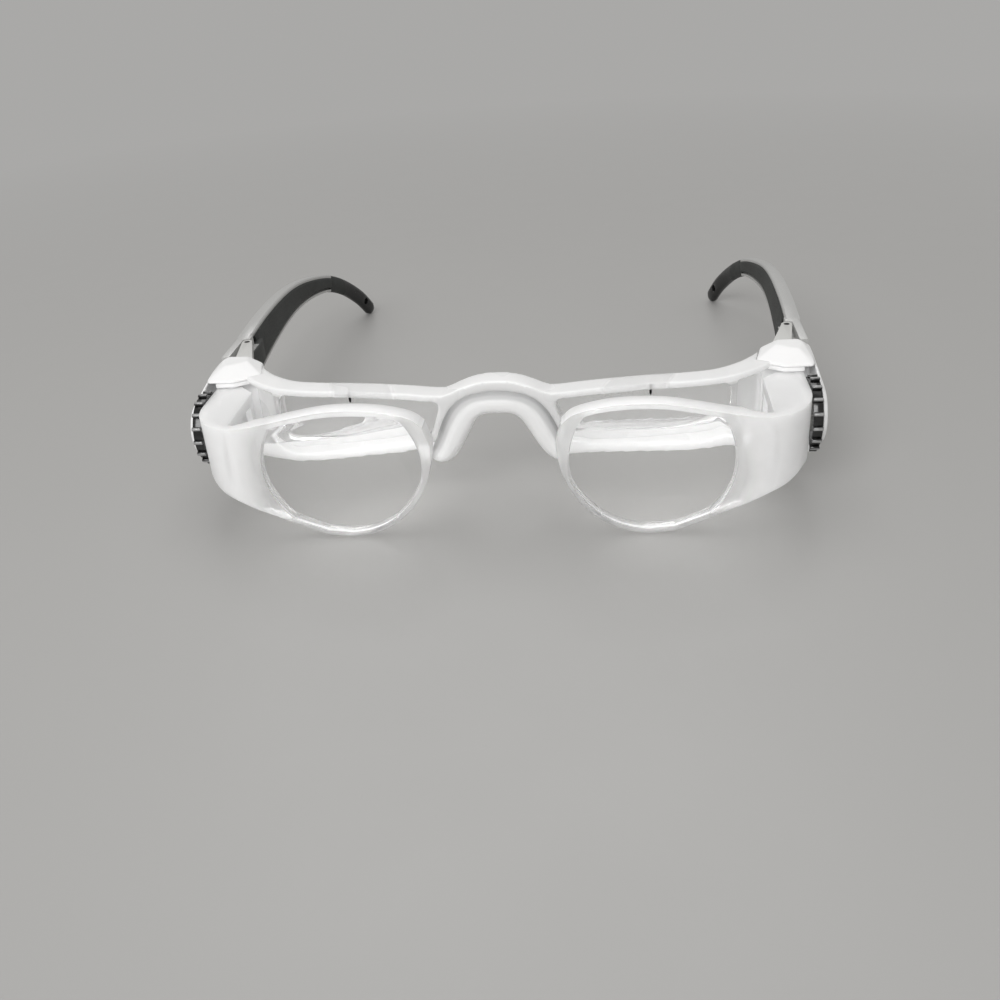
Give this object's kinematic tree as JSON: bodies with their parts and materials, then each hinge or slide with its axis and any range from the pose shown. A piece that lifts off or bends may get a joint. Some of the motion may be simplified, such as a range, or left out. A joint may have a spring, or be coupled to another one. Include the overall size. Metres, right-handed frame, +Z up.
{
  "type": "magnifier glasses",
  "caption": "Binocular magnifying glasses: front lenses in sliding carriers focused by side thumb wheels, a clear rear frame with eyepiece lenses, soft nose saddle and folding temples.",
  "frame": {"origin": "centre of the bounding box in X and Y, on the table that the carriers and the ear hooks rest on", "axes": "+X to the wearer's left, +Y from the objectives back to the ear hooks, +Z up; the wearer looks along -Y"},
  "size_m": [0.1568, 0.164, 0.034],
  "materials": {
    "frosted_plastic": "satin, translucent white",
    "clear_plastic": "polished, clear to milky",
    "soft_plastic": "soft, milky",
    "lens": "polished",
    "white_plastic": "satin",
    "black_plastic": "glossy",
    "pinion_plastic": "moulded",
    "steel": "drawn pin",
    "grey_plastic": "satin silver grey",
    "dark_liner": "matt",
    "hook_plastic": "matt black"
  },
  "bodies": {
    "frame": {"rear_frame": "clear_plastic", "nose_saddle": "soft_plastic", "eyepiece_lens_left": "lens", "eyepiece_lens_right": "lens", "end_housing_left": "white_plastic", "end_housing_right": "white_plastic", "outer_cover_left": "white_plastic", "outer_cover_right": "white_plastic", "wheel_axle_left": "steel", "wheel_axle_right": "steel", "hinge_pin_left": "steel", "hinge_pin_right": "steel"},
    "carrier_left": {"objective_carrier_left": "frosted_plastic", "objective_lens_left": "lens"},
    "carrier_right": {"objective_carrier_right": "frosted_plastic", "objective_lens_right": "lens"},
    "wheel_left": {"focus_wheel_left": "black_plastic", "focus_pinion_left": "pinion_plastic"},
    "wheel_right": {"focus_wheel_right": "black_plastic", "focus_pinion_right": "pinion_plastic"},
    "temple_left": {"temple_shell_left": "grey_plastic", "temple_liner_left": "dark_liner", "temple_tip_left": "hook_plastic"},
    "temple_right": {"temple_shell_right": "grey_plastic", "temple_liner_right": "dark_liner", "temple_tip_right": "hook_plastic"}
  },
  "joints": [
    {"name": "focus_left", "type": "slide", "parent": "frame", "child": "carrier_left", "axis": [0, 1, 0], "range_m": [-0.005, 0.003]},
    {"name": "focus_right", "type": "slide", "parent": "frame", "child": "carrier_right", "axis": [0, 1, 0], "range_m": [-0.005, 0.003]},
    {"name": "wheel_turn_left", "type": "hinge", "parent": "frame", "child": "wheel_left", "pos_m": [0.075, -0.061, 0.0203], "axis": [1, 0, 0], "range_deg": [-72, 43.2]},
    {"name": "wheel_turn_right", "type": "hinge", "parent": "frame", "child": "wheel_right", "pos_m": [-0.075, -0.061, 0.0203], "axis": [1, 0, 0], "range_deg": [-72, 43.2]},
    {"name": "temple_fold_left", "type": "hinge", "parent": "frame", "child": "temple_left", "pos_m": [0.073, -0.0288, 0.0255], "axis": [0, 0, 1], "range_deg": [0, 90]},
    {"name": "temple_fold_right", "type": "hinge", "parent": "frame", "child": "temple_right", "pos_m": [-0.073, -0.0288, 0.0255], "axis": [0, 0, -1], "range_deg": [0, 77]}
  ],
  "couplings": [
    {"joint": "wheel_turn_left", "follows": "focus_left", "rad_per_m": 250},
    {"joint": "wheel_turn_right", "follows": "focus_right", "rad_per_m": 250}
  ]
}
